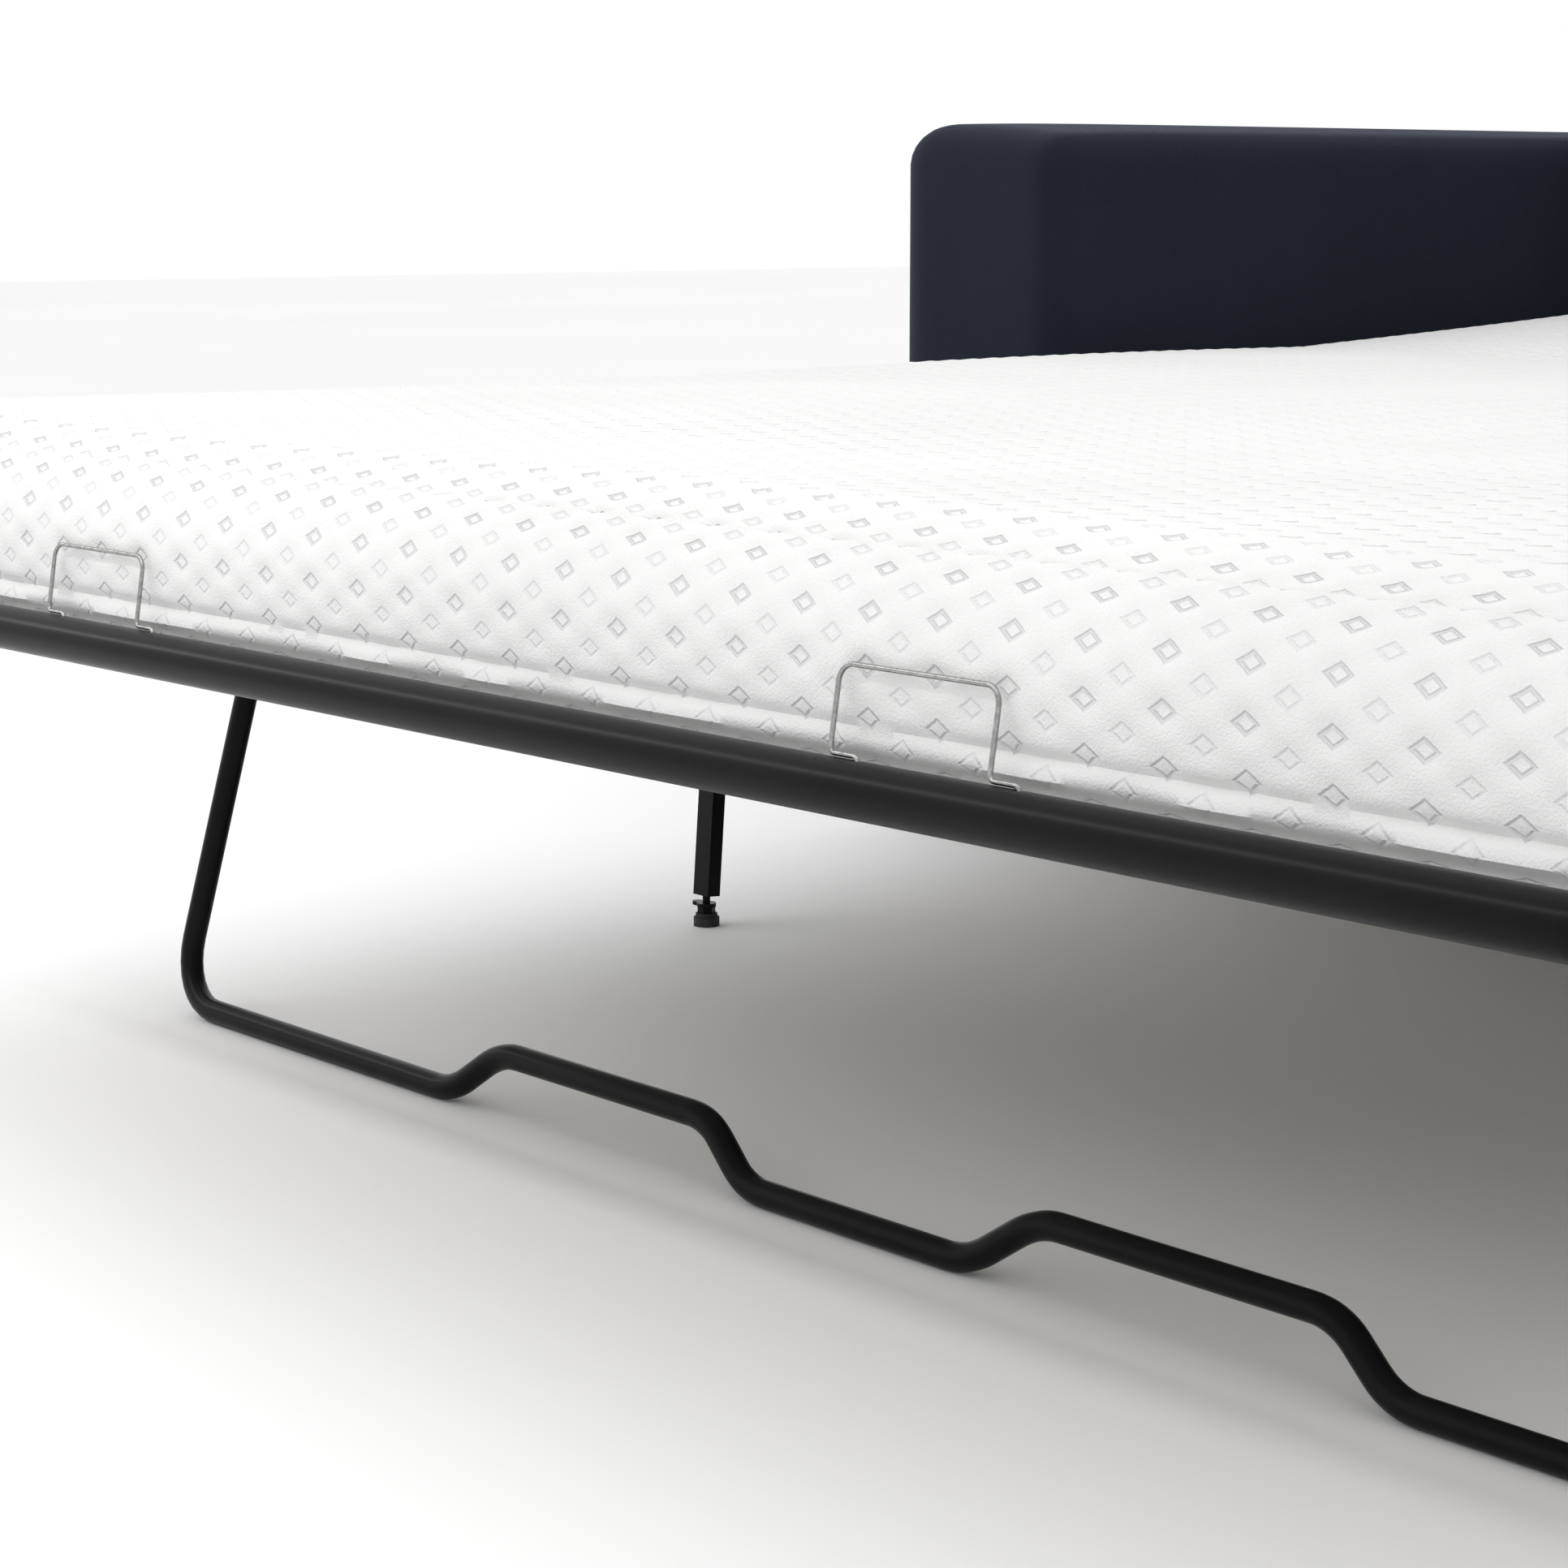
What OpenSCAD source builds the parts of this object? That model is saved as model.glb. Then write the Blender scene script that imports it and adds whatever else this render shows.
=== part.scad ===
/* [Bed] */
// Width of the mattress
mattress_w = 1500; // [1400:10:1600]
// Thickness of the mattress
mattress_t = 102; // [80:1:110]
// Height of the rail centre line above the floor
rail_z = 315; // [315:1:325]
// Angle at which the head end of the open bed rises
head_rise = 3.5; // [2:0.5:4]

/* [Fold] */
// Length of the foot section, from the foot tube to its hinge
foot_len = 497; // [490:1:505]
// Length of the front links between the foot and middle sections
front_link_len = 248; // [248:1:255]
// Length of the middle section between its two hinges
middle_len = 640; // [640:1:650]
// Length of the rear links between the middle and head sections
rear_link_len = 157; // [157:1:160]
// Length of the head section, from its hinge to the head tube
head_len = 338; // [330:1:338]
// Centre distance of a swing arm
swing_len = 282; // [280:1:284]
// Direction of the swing arms on the open bed, up from the rear
swing_angle = 132.5; // [132:0.5:133]

/* [Tube and wire] */
// Diameter of the rail tube
rail_d = 25; // [24:0.5:26]
// Diameter of the cross tubes
cross_d = 20; // [18:0.5:20]
// Diameter of the front leg tube
leg_d = 16; // [15:0.5:16]
// Wall of every tube
tube_wall = 1.5; // [1.2:0.1:2]
// Bend radius of the rail tube at the bed's corners
rail_bend = 55; // [50:1:60]
// Diameter of the retaining hoop wire
wire_d = 2.4; // [2:0.1:2.4]
// Width of a retaining hoop between its wire centres
hoop_w = 98; // [90:1:110]
// Height of a retaining hoop above the foot tube
hoop_h = 38; // [30:1:45]
// Distance of each hoop's middle from the bed's centre line
hoop_x = 339; // [300:1:380]

/* [Legs] */
// Distance of the front leg's hinge from the foot tube
front_leg_y = 350; // [345:1:355]
// Lean of the front leg
front_leg_lean = 15.7; // [14:0.1:17]
// Height of the two raised stretches of the floor bar
floor_bar_step = 31.5; // [25:0.5:35]
// Width of a middle leg across the bed
middle_leg_w = 18; // [16:1:18]
// Depth of a middle leg along the bed
middle_leg_t = 12; // [11:1:12]

/* [Sofa] */
// Width of each arm
arm_w = 205; // [190:1:220]
// Height of the arms
arm_h = 625; // [600:1:650]
// Height of the back
back_h = 800; // [760:1:840]
// Radius of the arms' outer top edge
arm_outer_r = 48; // [40:1:55]
// Radius of the arms' inner top edge
arm_inner_r = 28; // [20:1:35]
// Distance from the foot tube's centre line to the front of the arms
arm_front_y = 1162; // [1160:1:1162]
// Distance from the foot tube's centre line to the rear of the sofa
rear_y = 2112.5; // [2112.5:0.5:2130]

/* [Hidden] */
$fn = 48;

rail_r = rail_d / 2;
cross_r = cross_d / 2;
leg_r = leg_d / 2;
rail_x = mattress_w / 2 - 13;
rail_in = rail_x - rail_r;
rail_out = rail_x + rail_r;
mid_y = (rear_y - rail_r) / 2;

front_hinge_y = foot_len;
middle_front_y = foot_len + front_link_len;
middle_rear_y = middle_front_y + middle_len;
rail_overhang = 15;

slat_half = rail_in + 4.5;
slat_w = 60;
slat_t = 8;
slat_low = -2;
slat_pitch = 85;
foot_slat_y = 110;
middle_slat_y = middle_front_y + 85;
head_slat_y = rear_link_len + 58;

pin_r = 4;
bore_play = 0.05;
pin_head_r = 7;
pin_head_t = 2;
link_x = rail_out + 0.5;
link_t = 4;
link_w = 30;
link_out = link_x + link_t;

swing_r = 5;
swing_w = 30;
swing_t = 5;
swing_front_x = rail_out + 7.5;
swing_rear_x = swing_front_x + 9;
collar_r = 7;
collar_gap = 0.3;
clip_t = 1;
swing_front_y = middle_front_y + 330;
swing_rear_y = middle_front_y + 610;
pivot_dy = -swing_len * cos(swing_angle);
pivot_dz = -swing_len * sin(swing_angle);

front_leg_x = rail_x - 24;
front_leg_drop = rail_z - 15;
front_leg_len = (front_leg_drop - leg_r) / cos(front_leg_lean);
front_leg_top = 8;
floor_bar_corner = 45;
floor_bar_steps = [382, 340, 136, 92];

middle_leg_x = rail_x - 26;
middle_leg_y = middle_front_y + 9;
middle_leg_z = rail_z - 19;
middle_leg_lean = 4.2;
middle_leg_bottom = 24;
middle_leg_len = (middle_leg_z - middle_leg_bottom) / cos(middle_leg_lean);
middle_leg_cap = 4;
stem_y = middle_leg_y - 20;
stem_r = 3;
stem_top = 38;
pad_r = 10;
pad_h = 10;
wing_reach = 15;

hoop_y = 2;
hoop_rise = 13.9;
hoop_lean = 9;
hoop_hook = 18;
hoop_hook_leg = 5;

mattress_half = mattress_w / 2 - 1;
mattress_low = 13;
section_gap = 0.2;

arm_in = mattress_w / 2 + 27;
arm_out = arm_in + arm_w;
arm_low = 45;
arm_pad = 12;
board_t = 18;
frame_in = arm_in + arm_pad;
frame_out = arm_out - 18;
frame_front = arm_front_y + 15;
frame_rear = rear_y - 18;
frame_top = arm_h - 30;
recess_h = 225;
stretcher_y = arm_front_y + 10;
stretcher_top = 95;
plate_t = 5;
plate_y = [1200, 1610];
plate_z = [60, 150];
bolt_y = [1225, 1580];
bolt_z = [75, 135];
bolt_r = 4;
back_front_y = 1950;
back_board_y = 2060;
back_low = 200;
back_r = 50;
foot_r = 25;
sofa_feet_y = [1215, 2060];

// Placing

module at_bed() translate([0, -mid_y, 0]) children();
module flat_deck() at_bed() translate([0, 0, rail_z]) children();
module head_deck() {
    at_bed() translate([0, middle_rear_y, rail_z]) rotate([head_rise, 0, 0]) children();
}
module on_side(side) mirror([side == "left" ? 1 : 0, 0, 0]) children();
module both_sides() {
    children();
    mirror([1, 0, 0]) children();
}

// Shapes that repeat

function unit(v) = v / norm(v);
function run(path, i) = unit(path[i + 1] - path[i]);
function turn(path, i) =
    let (u = run(path, i - 1), w = run(path, i))
    atan2(u.x * w.y - u.y * w.x, u.x * w.x + u.y * w.y);
function is_end(path, i) = i == 0 || i == len(path) - 1;
function trim(path, bends, i) = is_end(path, i) ? 0 : bends[i] * tan(abs(turn(path, i)) / 2);

module rod_x(x0, x1, r, y = 0, z = 0) {
    translate([x0, y, z]) rotate([0, 90, 0]) cylinder(r = r, h = x1 - x0);
}

module rod_y(y0, y1, r, x = 0, z = 0) {
    translate([x, y0, z]) rotate([-90, 0, 0]) cylinder(r = r, h = y1 - y0);
}

// A round bar bent in the XY plane; over lengthens both of its ends. A bend of 0 is a ball joint
module bent_bar(path, bends, r, over = 0) {
    last = len(path) - 1;
    for (i = [0 : last - 1]) {
        u = run(path, i);
        p = path[i] + u * (trim(path, bends, i) - (i == 0 ? over : 0));
        q = path[i + 1] - u * (trim(path, bends, i + 1) - (i + 1 == last ? over : 0));
        translate([p.x, p.y, 0]) rotate([0, 0, atan2(u.y, u.x)]) rotate([0, 90, 0])
            cylinder(r = r, h = norm(q - p));
    }
    for (i = [1 : last - 1]) if (bends[i] == 0) translate([path[i].x, path[i].y, 0]) sphere(r = r);
    for (i = [1 : last - 1]) if (bends[i] > 0) {
        u = run(path, i - 1);
        side = sign(turn(path, i));
        start = path[i] - u * trim(path, bends, i);
        centre = start + [-u.y, u.x] * bends[i] * side;
        heading = atan2(u.y, u.x) - 90 * side + (side < 0 ? turn(path, i) : 0);
        translate([centre.x, centre.y, 0]) rotate([0, 0, heading])
            rotate_extrude(angle = abs(turn(path, i))) translate([bends[i], 0]) circle(r = r);
    }
}

module bent_tube(path, bends, r) {
    difference() {
        bent_bar(path, bends, r);
        bent_bar(path, bends, r - tube_wall, 1);
    }
}

// A cross tube between the rails, its ends coped to fit round them
module cross_tube(y) {
    difference() {
        rod_x(-rail_x, rail_x, cross_r, y);
        rod_x(-rail_x, rail_x, cross_r - tube_wall, y);
        both_sides() rod_y(y - rail_d, y + rail_d, rail_r, rail_x);
    }
}

module slats(first_y, count) {
    for (i = [0 : count - 1])
        translate([-slat_half, first_y + i * slat_pitch, slat_low])
            cube([2 * slat_half, slat_w, slat_t]);
}

// A headed hinge pin through a rail, carrying a link on the rail's outer face
module hinge_pins(y) {
    both_sides() {
        rod_x(rail_in - 2, link_out + 0.4, pin_r, y);
        rod_x(link_out + 0.4, link_out + 0.4 + pin_head_t, pin_head_r, y);
    }
}

module hinge_pin_holes(y) both_sides() rod_x(rail_in - 3, rail_out + 1, pin_r, y);

// A flat bar with round ends and a bore at each; p and q are its bore centres, [y, z]
module flat_bar(p, q, width, bore_r, x, thick) {
    d = q - p;
    translate([x, 0, 0]) rotate([90, 0, 90]) linear_extrude(thick) difference() {
        union() {
            translate(p) circle(d = width);
            translate(q) circle(d = width);
            translate(p) rotate(atan2(d.y, d.x)) translate([0, -width / 2]) square([norm(d), width]);
        }
        translate(p) circle(r = bore_r);
        translate(q) circle(r = bore_r);
    }
}

// A plug in the open end of a rail; way is 1 where the rail ends towards +Y
module rail_plug(y, way) {
    both_sides() translate([rail_x, y, 0]) rotate([-90 * way, 0, 0]) {
        cylinder(r = rail_r, h = 2);
        translate([0, 0, -8]) cylinder(r = rail_r - tube_wall, h = 8);
    }
}

module mattress_block(y0, y1) {
    color("white") translate([-mattress_half, y0 + section_gap, mattress_low])
        cube([2 * mattress_half, y1 - y0 - 2 * section_gap, mattress_t]);
}

module rounded_corner_cut(x, y, r, way) {
    translate([x, y]) mirror([way, 0]) difference() {
        square([r + 1, r + 1]);
        circle(r = r);
    }
}

// Sofa: arms, back and base

module arm_cover(side) {
    color("midnightblue") at_bed() on_side(side) difference() {
        translate([0, rear_y, 0]) rotate([90, 0, 0]) linear_extrude(rear_y - arm_front_y)
            difference() {
                translate([arm_in, arm_low]) square([arm_w, arm_h - arm_low]);
                rounded_corner_cut(arm_out - arm_outer_r, arm_h - arm_outer_r, arm_outer_r, 0);
                rounded_corner_cut(arm_in + arm_inner_r, arm_h - arm_inner_r, arm_inner_r, 1);
            }
        translate([frame_in, frame_front, arm_low - 1])
            cube([frame_out - frame_in, frame_rear - frame_front, frame_top - arm_low + 1]);
        translate([arm_in - 1, stretcher_y, arm_low - 1])
            cube([arm_pad + 1, frame_rear - stretcher_y, recess_h - arm_low + 1]);
    }
}

module arm_frame(side) {
    color("burlywood") at_bed() on_side(side) difference() {
        translate([frame_in, frame_front, arm_low])
            cube([frame_out - frame_in, frame_rear - frame_front, frame_top - arm_low]);
        translate([frame_in + board_t, frame_front + board_t, arm_low + board_t])
            cube([
                frame_out - frame_in - 2 * board_t,
                frame_rear - frame_front - 2 * board_t,
                frame_top - arm_low - 2 * board_t
            ]);
        for (y = bolt_y, z = bolt_z) rod_x(frame_in - 1, frame_in + board_t + 1, bolt_r, y, z);
    }
}

module back_cover() {
    half = arm_in - 0.5;
    color("midnightblue") at_bed() translate([-half, 0, 0]) rotate([90, 0, 90])
        linear_extrude(2 * half) difference() {
            translate([back_front_y, back_low]) square([rear_y - back_front_y, back_h - back_low]);
            rounded_corner_cut(rear_y - back_r, back_h - back_r, back_r, 0);
            rounded_corner_cut(back_front_y + back_r, back_h - back_r, back_r, 1);
            translate([back_board_y, back_low - 1]) square([board_t, back_h - back_low - 29]);
        }
}

module back_board() {
    half = arm_in - 0.5;
    color("burlywood") at_bed() translate([-half, back_board_y, back_low])
        cube([2 * half, board_t, back_h - back_low - 30]);
}

module rear_rail() {
    color("burlywood") at_bed() translate([-frame_in, back_board_y, 60])
        cube([2 * frame_in, board_t, back_low - 60]);
}

module front_stretcher() {
    color("midnightblue") at_bed() translate([-frame_in, stretcher_y, arm_low])
        cube([2 * frame_in, board_t, stretcher_top - arm_low]);
}

module sofa_feet() {
    color("black") at_bed() both_sides() for (y = sofa_feet_y)
        translate([(arm_in + arm_out) / 2, y, 0]) cylinder(r = foot_r, h = arm_low);
}

// A steel plate with a riveted pivot stud for each swing arm
module side_plate(side) {
    pivot_z = rail_z + pivot_dz;
    inner = frame_in - plate_t;
    color("dimgray") at_bed() on_side(side) {
        difference() {
            translate([inner, plate_y[0], plate_z[0]])
                cube([plate_t, plate_y[1] - plate_y[0], plate_z[1] - plate_z[0]]);
            for (y = bolt_y, z = bolt_z) rod_x(inner - 1, frame_in + 1, bolt_r, y, z);
        }
        pivot_stud(inner, swing_front_x, swing_front_y + pivot_dy, pivot_z);
        pivot_stud(inner, swing_rear_x, swing_rear_y + pivot_dy, pivot_z);
    }
}

module pivot_stud(plate_x, swing_x, y, z) {
    rod_x(swing_x + swing_t + collar_gap, plate_x + 1, collar_r, y, z);
    rod_x(swing_x - 0.4, plate_x, swing_r, y, z);
    rod_x(swing_x - 0.4 - clip_t, swing_x - 0.4, collar_r, y, z);
}

module plate_bolts() {
    inner = frame_in - plate_t;
    color("silver") at_bed() both_sides() for (y = bolt_y, z = bolt_z) {
        rod_x(inner - 3, inner, 7, y, z);
        rod_x(inner, frame_in + board_t, bolt_r, y, z);
    }
}

// Swing arms

module swing_arm(side, x, y) {
    color("dimgray") flat_deck() on_side(side)
        flat_bar([y, 0], [y + pivot_dy, pivot_dz], swing_w, swing_r + bore_play, x, swing_t);
}

// Middle section

module middle_rail(side) {
    color([0.1, 0.1, 0.11]) flat_deck() on_side(side) difference() {
        union() {
            rod_y(middle_front_y - rail_overhang, middle_rear_y + rail_overhang, rail_r, rail_x);
            translate([middle_leg_x + middle_leg_w / 2 + 0.5, middle_leg_y - 12, -31])
                cube([rail_in + 1.3 - middle_leg_x - middle_leg_w / 2 - 0.5, 24, 28.5]);
        }
        rod_y(middle_front_y - 20, middle_rear_y + 20, rail_r - tube_wall, rail_x);
        for (y = [middle_front_y, middle_rear_y]) hinge_pin_holes(y);
        for (y = [swing_front_y, swing_rear_y]) rod_x(rail_in - 3, rail_out + 1, swing_r, y);
        rod_x(middle_leg_x, rail_in + 3, pin_r, middle_leg_y, middle_leg_z - rail_z);
        slats(middle_slat_y, 6);
    }
}

module middle_cross_tubes() {
    color([0.1, 0.1, 0.11]) flat_deck() {
        cross_tube(middle_front_y + 45);
        cross_tube(middle_rear_y - 50);
    }
}

module middle_slats() color("wheat") flat_deck() slats(middle_slat_y, 6);

module middle_hinge_pins() {
    color("silver") flat_deck() for (y = [middle_front_y, middle_rear_y]) hinge_pins(y);
}

module swing_pins() {
    color("silver") flat_deck() both_sides() {
        swing_pin(swing_front_y, swing_front_x);
        swing_pin(swing_rear_y, swing_rear_x);
    }
}

module swing_pin(y, x) {
    rod_x(rail_in - 2, x + swing_t + 0.4, swing_r, y);
    rod_x(rail_out, x - collar_gap, collar_r, y);
    rod_x(x + swing_t + 0.4, x + swing_t + 0.4 + clip_t, collar_r, y);
}

module middle_leg_pins() {
    inner = middle_leg_x - middle_leg_w / 2;
    z = middle_leg_z - rail_z;
    color("silver") flat_deck() both_sides() {
        rod_x(inner - 0.5, rail_in + 1.3, pin_r, middle_leg_y, z);
        rod_x(inner - 0.5 - pin_head_t, inner - 0.5, pin_head_r, middle_leg_y, z);
    }
}

module middle_plugs() {
    color("black") flat_deck() {
        rail_plug(middle_front_y - rail_overhang, -1);
        rail_plug(middle_rear_y + rail_overhang, 1);
    }
}

module mattress_middle() flat_deck() mattress_block(middle_front_y, middle_rear_y);

// Middle legs and their levelling feet

module middle_leg(side) {
    w = middle_leg_w;
    t = middle_leg_t;
    color([0.1, 0.1, 0.11]) at_bed() on_side(side) difference() {
        translate([middle_leg_x, middle_leg_y, middle_leg_z]) rotate([-middle_leg_lean, 0, 0])
            difference() {
                translate([-w / 2, -t / 2, -middle_leg_len]) cube([w, t, middle_leg_len + 9]);
                translate([-w / 2 + tube_wall, -t / 2 + tube_wall, middle_leg_cap - middle_leg_len])
                    cube([w - 2 * tube_wall, t - 2 * tube_wall, middle_leg_len + 9 - 2 * middle_leg_cap]);
                rod_x(-w, w, pin_r + bore_play);
            }
        translate([middle_leg_x, stem_y, middle_leg_bottom - 5]) cylinder(r = stem_r + bore_play, h = 16);
    }
}

module leveller_pad(side) {
    color("black") at_bed() on_side(side) translate([middle_leg_x, stem_y, 0]) difference() {
        union() {
            cylinder(r = pad_r, h = pad_h - 3);
            translate([0, 0, pad_h - 3]) cylinder(r = pad_r - 1.5, h = 3);
        }
        translate([0, 0, pad_h / 2]) cylinder(r = stem_r, h = pad_h);
    }
}

// A threaded stem with its lock nut and winged tab
module leveller_stem(side) {
    color([0.15, 0.15, 0.16]) at_bed() on_side(side) translate([middle_leg_x, stem_y, 0]) {
        translate([0, 0, pad_h / 2]) cylinder(r = stem_r, h = stem_top - pad_h / 2);
        translate([0, 0, pad_h]) cylinder(r = 7, h = 5, $fn = 6);
        translate([0, 0, pad_h + 5]) cylinder(r = 7.5, h = 3);
        translate([0, -4, pad_h + 5]) cube([wing_reach - 4, 8, 3]);
        translate([wing_reach - 4, 0, pad_h + 5]) cylinder(r = 4, h = 3);
    }
}

// Front links, with the board that closes the sofa's front when the bed is folded

module front_link(side) {
    color("dimgray") flat_deck() on_side(side) flat_bar([front_hinge_y, 0], [middle_front_y, 0],
        link_w, pin_r + bore_play, link_x, link_t);
}

module front_link_tube() {
    y = (front_hinge_y + middle_front_y) / 2;
    color([0.1, 0.1, 0.11]) flat_deck() difference() {
        rod_x(-link_x + 5, link_x - 5, cross_r, y);
        rod_x(-link_x + 4, link_x - 4, cross_r - tube_wall, y);
    }
}

module fascia_board() {
    color("midnightblue") flat_deck() translate([-link_x - 15, front_hinge_y + 23, -37])
        cube([2 * link_x + 30, front_link_len - 68, 14]);
}

module fascia_brackets() {
    y = (front_hinge_y + middle_front_y) / 2;
    color("dimgray") flat_deck() both_sides() translate([link_x - 5, y - 30, -23]) cube([5, 60, 36]);
}

module mattress_front_link() flat_deck() mattress_block(front_hinge_y, middle_front_y);

// Foot section

module foot_tube() {
    x = rail_x;
    end_y = front_hinge_y + rail_overhang;
    path = [[x, end_y], [x, 0], [-x, 0], [-x, end_y]];
    color([0.1, 0.1, 0.11]) flat_deck() difference() {
        union() {
            bent_bar(path, [0, rail_bend, rail_bend, 0], rail_r);
            both_sides() translate([front_leg_x + leg_r + 0.5, front_leg_y - 10, -27])
                cube([rail_in + 1.3 - front_leg_x - leg_r - 0.5, 20, 24.5]);
        }
        bent_bar(path, [0, rail_bend, rail_bend, 0], rail_r - tube_wall, 1);
        slats(foot_slat_y, 4);
        hinge_pin_holes(front_hinge_y);
        both_sides() rod_x(front_leg_x, rail_in + 3, pin_r, front_leg_y, front_leg_drop - rail_z);
        for (middle = [-hoop_x, hoop_x], foot = [-hoop_w / 2, hoop_w / 2])
            translate([middle + foot + hoop_hook - 2.2, -1, 5]) cube([4.4, 9.5, 10]);
    }
}

module foot_cross_tube() color([0.1, 0.1, 0.11]) flat_deck() cross_tube(front_hinge_y - 25);

module foot_slats() color("wheat") flat_deck() slats(foot_slat_y, 4);

module foot_hinge_pins() color("silver") flat_deck() hinge_pins(front_hinge_y);

module foot_plugs() color("black") flat_deck() rail_plug(front_hinge_y + rail_overhang, 1);

module front_leg_pins() {
    inner = front_leg_x - leg_r;
    z = front_leg_drop - rail_z;
    color("silver") flat_deck() both_sides() {
        rod_x(inner - 1.5, rail_in + 1.3, pin_r, front_leg_y, z);
        rod_x(inner - 1.5 - pin_head_t, inner - 1.5, pin_head_r, front_leg_y, z);
    }
}

module mattress_foot() flat_deck() mattress_block(rail_r + 1, front_hinge_y);

// A wire hoop whose feet turn along the foot tube and hook down through its wall
module hoop(middle) {
    h = hoop_w / 2;
    path = [
        [hoop_hook - h, -hoop_hook_leg], [hoop_hook - h, 0], [-h, 0], [-h, hoop_h],
        [h, hoop_h], [h, 0], [h + hoop_hook, 0], [h + hoop_hook, -hoop_hook_leg]
    ];
    color("silver") flat_deck() translate([middle, hoop_y, hoop_rise])
        rotate([90 - hoop_lean, 0, 0]) bent_bar(path, [0, 3, 3, 8, 8, 3, 3, 0], wire_d / 2);
}

// A bent bar with a floor bar that is stepped up twice
module front_leg() {
    s = floor_bar_steps;
    low = -front_leg_len;
    high = low + floor_bar_step;
    half = [[front_leg_x, low], [s[0], low], [s[1], high], [s[2], high], [s[3], low]];
    other = [for (i = [4 : -1 : 0]) [-half[i].x, half[i].y]];
    path = concat([[front_leg_x, front_leg_top]], half, other, [[-front_leg_x, front_leg_top]]);
    bends = [0, floor_bar_corner, 0, 0, 0, 0, 0, 0, 0, 0, floor_bar_corner, 0];
    color([0.1, 0.1, 0.11]) at_bed() translate([0, front_leg_y, front_leg_drop])
        rotate([90 - front_leg_lean, 0, 0]) difference() {
            bent_bar(path, bends, leg_r);
            both_sides() rod_x(front_leg_x - leg_r - 1, front_leg_x + leg_r + 1, pin_r + bore_play);
        }
}

// Rear links and head section

module rear_link(side) {
    color("dimgray") head_deck() on_side(side)
        flat_bar([0, 0], [rear_link_len, 0], link_w, pin_r + bore_play, link_x, link_t);
}

module rear_link_tube() {
    color([0.1, 0.1, 0.11]) head_deck() difference() {
        rod_x(-link_x, link_x, cross_r, rear_link_len / 2);
        rod_x(-link_x - 1, link_x + 1, cross_r - tube_wall, rear_link_len / 2);
    }
}

module mattress_rear_link() head_deck() mattress_block(8, rear_link_len);

module head_tube() {
    x = rail_x;
    end_y = rear_link_len - rail_overhang;
    head_y = rear_link_len + head_len;
    path = [[x, end_y], [x, head_y], [-x, head_y], [-x, end_y]];
    color([0.1, 0.1, 0.11]) head_deck() difference() {
        bent_tube(path, [0, rail_bend, rail_bend, 0], rail_r);
        slats(head_slat_y, 3);
        hinge_pin_holes(rear_link_len);
    }
}

module head_cross_tube() color([0.1, 0.1, 0.11]) head_deck() cross_tube(rear_link_len + 30);

module head_slats() color("wheat") head_deck() slats(head_slat_y, 3);

module head_hinge_pins() color("silver") head_deck() hinge_pins(rear_link_len);

module head_plugs() color("black") head_deck() rail_plug(rear_link_len - rail_overhang, -1);

module mattress_head() head_deck() mattress_block(rear_link_len, rear_link_len + head_len);

arm_cover("left");  // arm_cover_left
arm_cover("right");  // arm_cover_right
arm_frame("left");  // arm_frame_left
arm_frame("right");  // arm_frame_right
back_cover();
back_board();
rear_rail();
front_stretcher();
sofa_feet();
side_plate("left");  // side_plate_left
side_plate("right");  // side_plate_right
plate_bolts();
swing_arm("left", swing_front_x, swing_front_y);  // swing_arm_front_left
swing_arm("right", swing_front_x, swing_front_y);  // swing_arm_front_right
swing_arm("left", swing_rear_x, swing_rear_y);  // swing_arm_rear_left
swing_arm("right", swing_rear_x, swing_rear_y);  // swing_arm_rear_right
middle_rail("left");  // middle_rail_left
middle_rail("right");  // middle_rail_right
middle_cross_tubes();
middle_slats();
middle_hinge_pins();
swing_pins();
middle_leg_pins();
middle_plugs();
mattress_middle();
middle_leg("left");  // middle_leg_left
middle_leg("right");  // middle_leg_right
leveller_pad("left");  // leveller_pad_left
leveller_pad("right");  // leveller_pad_right
leveller_stem("left");  // leveller_stem_left
leveller_stem("right");  // leveller_stem_right
front_link("left");  // front_link_left
front_link("right");  // front_link_right
front_link_tube();
fascia_board();
fascia_brackets();
mattress_front_link();
foot_tube();
foot_cross_tube();
foot_slats();
foot_hinge_pins();
foot_plugs();
front_leg_pins();
mattress_foot();
hoop(-hoop_x);  // hoop_left
hoop(hoop_x);  // hoop_right
front_leg();
rear_link("left");  // rear_link_left
rear_link("right");  // rear_link_right
rear_link_tube();
mattress_rear_link();
head_tube();
head_cross_tube();
head_slats();
head_hinge_pins();
head_plugs();
mattress_head();
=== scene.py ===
import math

import bmesh
import bpy
import numpy as np
from mathutils import Matrix, Vector


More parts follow.
